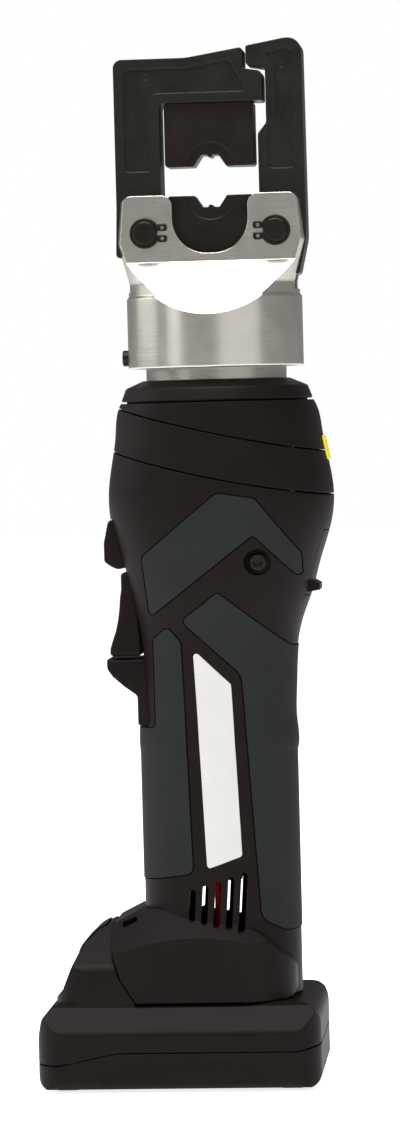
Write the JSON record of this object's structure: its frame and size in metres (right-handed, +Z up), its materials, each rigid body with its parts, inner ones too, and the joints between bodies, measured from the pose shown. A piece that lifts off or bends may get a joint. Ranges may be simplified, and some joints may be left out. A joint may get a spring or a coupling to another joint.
{
  "type": "battery hydraulic crimping tool",
  "caption": "Upright in-line battery crimping tool: hydraulic head with a swivelling clevis, hinged jaw and latch, bulging housing with trigger and grips, on a slide-on battery.",
  "frame": {"origin": "on the ground, at the middle of the bounding box's bottom face", "axes": "+Z up along the tool, from battery to jaws; -X is the trigger side; +X is the back"},
  "size_m": [0.1142, 0.075, 0.3901],
  "materials": {
    "housing_plastic": "fine moulded texture",
    "soft_grip": "matte elastomer",
    "label_film": "satin film",
    "marker_film": "satin film",
    "clear_lens": "clear moulding",
    "machined_steel": "turned and satin finished",
    "black_steel": "black oxide",
    "gear_steel": "ground",
    "pump_alloy": "milled",
    "oil_rubber": "matte",
    "board_laminate": "satin",
    "contact_brass": "bright",
    "red_insulation": "satin",
    "black_insulation": "satin",
    "cell_sleeve": "shrink film"
  },
  "bodies": {
    "housing": {"near_shell": "housing_plastic", "far_shell": "housing_plastic", "nose_cap": "housing_plastic", "slanted_band": "housing_plastic", "front_collar": "housing_plastic", "near_chevron_pad": "soft_grip", "far_chevron_pad": "soft_grip", "rear_grip": "soft_grip", "front_grip": "soft_grip", "label_plate": "label_film", "rear_marker": "marker_film", "lamp_hood": "housing_plastic", "lamp_lens": "clear_lens", "finger_rest": "housing_plastic", "pivot_pins": "gear_steel", "housing_screws": "black_steel", "cylinder": "machined_steel", "rod_guide": "machined_steel", "pump_block": "pump_alloy", "pump_plunger": "gear_steel", "oil_bladder": "oil_rubber", "gear_case": "machined_steel", "motor_can": "gear_steel", "motor_magnets": "gear_steel", "motor_end_cap": "housing_plastic", "trigger_switch": "housing_plastic", "control_board": "board_laminate", "terminal_block": "housing_plastic", "contact_blades": "contact_brass", "red_wire": "red_insulation", "black_wire": "black_insulation"},
    "head": {"clevis": "machined_steel", "lock_screw": "black_steel", "hinge_pins": "black_steel", "retaining_rings": "black_steel"},
    "ram": {"ram": "machined_steel", "lower_die": "black_steel", "piston_seal": "oil_rubber", "return_spring": "gear_steel"},
    "jaw": {"hinged_jaw": "black_steel", "upper_die": "black_steel"},
    "latch": {"latch_jaw": "black_steel"},
    "trigger": {"trigger": "housing_plastic"},
    "switch_plunger": {"switch_plunger": "housing_plastic"},
    "retract_lever": {"retract_lever": "housing_plastic"},
    "return_valve": {"return_valve": "gear_steel"},
    "battery": {"battery_upper_shell": "housing_plastic", "battery_lower_shell": "housing_plastic", "battery_feet": "soft_grip", "battery_cells": "cell_sleeve", "cell_straps": "gear_steel", "battery_board": "board_laminate"},
    "battery_button": {"battery_button": "housing_plastic"},
    "rotor": {"armature": "gear_steel", "sun_pinion": "gear_steel"},
    "output": {"planet_carrier": "gear_steel", "eccentric_bearing": "gear_steel"},
    "planet_1": {"planet_gear_1": "gear_steel"},
    "planet_2": {"planet_gear_2": "gear_steel"},
    "planet_3": {"planet_gear_3": "gear_steel"}
  },
  "joints": [
    {"name": "head_swivel", "type": "hinge", "parent": "housing", "child": "head", "pos_m": [0.0139, 0, 0.2778], "axis": [0, 0, 1], "range_deg": [-175, 175]},
    {"name": "ram_stroke", "type": "slide", "parent": "head", "child": "ram", "axis": [0, 0, 1], "range_m": [0, 0.0105], "stiffness_N_per_m": 2500, "springref_m": -0.006, "deforming": ["return_spring"]},
    {"name": "jaw_open", "type": "hinge", "parent": "head", "child": "jaw", "pos_m": [-0.0105, 0, 0.3186], "axis": [0, -1, 0], "range_deg": [0, 45]},
    {"name": "latch_open", "type": "hinge", "parent": "head", "child": "latch", "pos_m": [0.0383, 0, 0.3186], "axis": [0, 1, 0], "range_deg": [0, 45]},
    {"name": "trigger_pull", "type": "hinge", "parent": "housing", "child": "trigger", "pos_m": [-0.0171, 0, 0.1883], "axis": [0, -1, 0], "range_deg": [0, 8], "stiffness_Nm_per_rad": 1.2, "springref_deg": -8.59},
    {"name": "switch_push", "type": "slide", "parent": "housing", "child": "switch_plunger", "axis": [1, 0, 0], "range_m": [0, 0.0021]},
    {"name": "retract_press", "type": "hinge", "parent": "housing", "child": "retract_lever", "pos_m": [0.0494, 0, 0.2036], "axis": [0, 1, 0], "range_deg": [0, 5], "stiffness_Nm_per_rad": 1.5, "springref_deg": -6.88},
    {"name": "valve_push", "type": "slide", "parent": "housing", "child": "return_valve", "axis": [-1, 0, 0], "range_m": [0, 0.0018]},
    {"name": "battery_slide", "type": "slide", "parent": "housing", "child": "battery", "axis": [-1, 0, 0], "range_m": [0, 0.075]},
    {"name": "button_press", "type": "slide", "parent": "battery", "child": "battery_button", "axis": [0, 0, -1], "range_m": [0, 0.0025], "stiffness_N_per_m": 800, "springref_m": -0.002},
    {"name": "rotor_spin", "type": "hinge", "parent": "housing", "child": "rotor", "pos_m": [0.0139, 0, 0.1018], "axis": [0, 0, 1], "continuous": true},
    {"name": "output_spin", "type": "hinge", "parent": "housing", "child": "output", "pos_m": [0.0139, 0, 0.1578], "axis": [0, 0, 1], "continuous": true},
    {"name": "planet_1_spin", "type": "hinge", "parent": "output", "child": "planet_1", "pos_m": [0.02365, 0, 0.1298], "axis": [0, 0, 1], "continuous": true},
    {"name": "planet_2_spin", "type": "hinge", "parent": "output", "child": "planet_2", "pos_m": [0.00903, 0.00844, 0.1298], "axis": [0, 0, 1], "continuous": true},
    {"name": "planet_3_spin", "type": "hinge", "parent": "output", "child": "planet_3", "pos_m": [0.00903, -0.00844, 0.1298], "axis": [0, 0, 1], "continuous": true}
  ],
  "couplings": [
    {"joint": "latch_open", "follows": "jaw_open", "ratio": 1},
    {"joint": "switch_push", "follows": "trigger_pull", "m_per_rad": 0.0145},
    {"joint": "valve_push", "follows": "retract_press", "m_per_rad": 0.0193},
    {"joint": "output_spin", "follows": "rotor_spin", "ratio": 0.2},
    {"joint": "planet_1_spin", "follows": "rotor_spin", "ratio": -0.53333},
    {"joint": "planet_2_spin", "follows": "rotor_spin", "ratio": -0.53333},
    {"joint": "planet_3_spin", "follows": "rotor_spin", "ratio": -0.53333}
  ]
}
